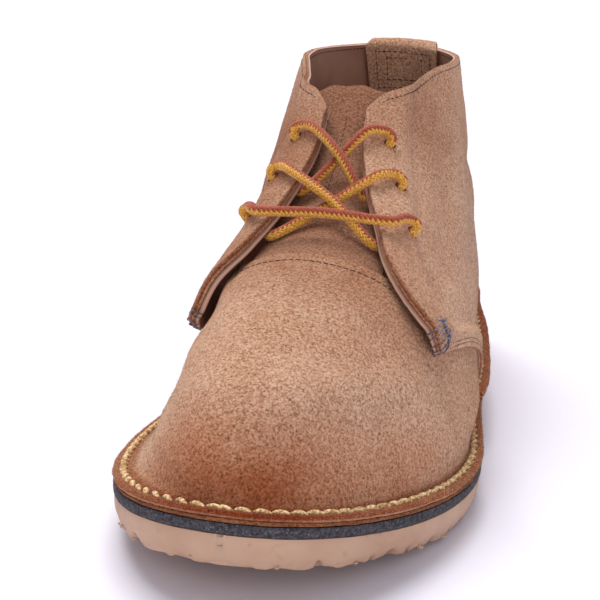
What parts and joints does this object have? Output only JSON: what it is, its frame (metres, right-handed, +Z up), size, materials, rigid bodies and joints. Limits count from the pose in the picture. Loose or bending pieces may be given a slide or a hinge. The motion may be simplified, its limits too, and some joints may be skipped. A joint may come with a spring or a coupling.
{
  "type": "chukka boot",
  "caption": "Ankle-high suede lace-up boot for a left foot, with a stitched-down upper, open throat over a tongue, and a lightly wedged crepe sole.",
  "frame": {"origin": "centre of the footprint on the floor, at the bottom of the bounding box", "axes": "+Z up, toe towards -Y and heel towards +Y, lateral side +X and medial side -X"},
  "size_m": [0.1032, 0.3, 0.121],
  "materials": {
    "crepe": "smooth matt crepe rubber",
    "grey_rubber": "speckled dark grey rubber",
    "midsole_leather": "raw cut edge",
    "lining_leather": "smooth lining",
    "suede": "rough-out suede with a fine nap",
    "braid": "round two-tone braid"
  },
  "bodies": {
    "root": {"outsole": "crepe", "rubber_midsole": "grey_rubber", "leather_midsole": "midsole_leather", "insole": "lining_leather", "upper": "suede", "tongue": "suede", "pull_tab": "suede", "lace_bar": "braid", "lace_cross_lower": "braid", "lace_cross_upper": "braid"}
  },
  "joints": []
}
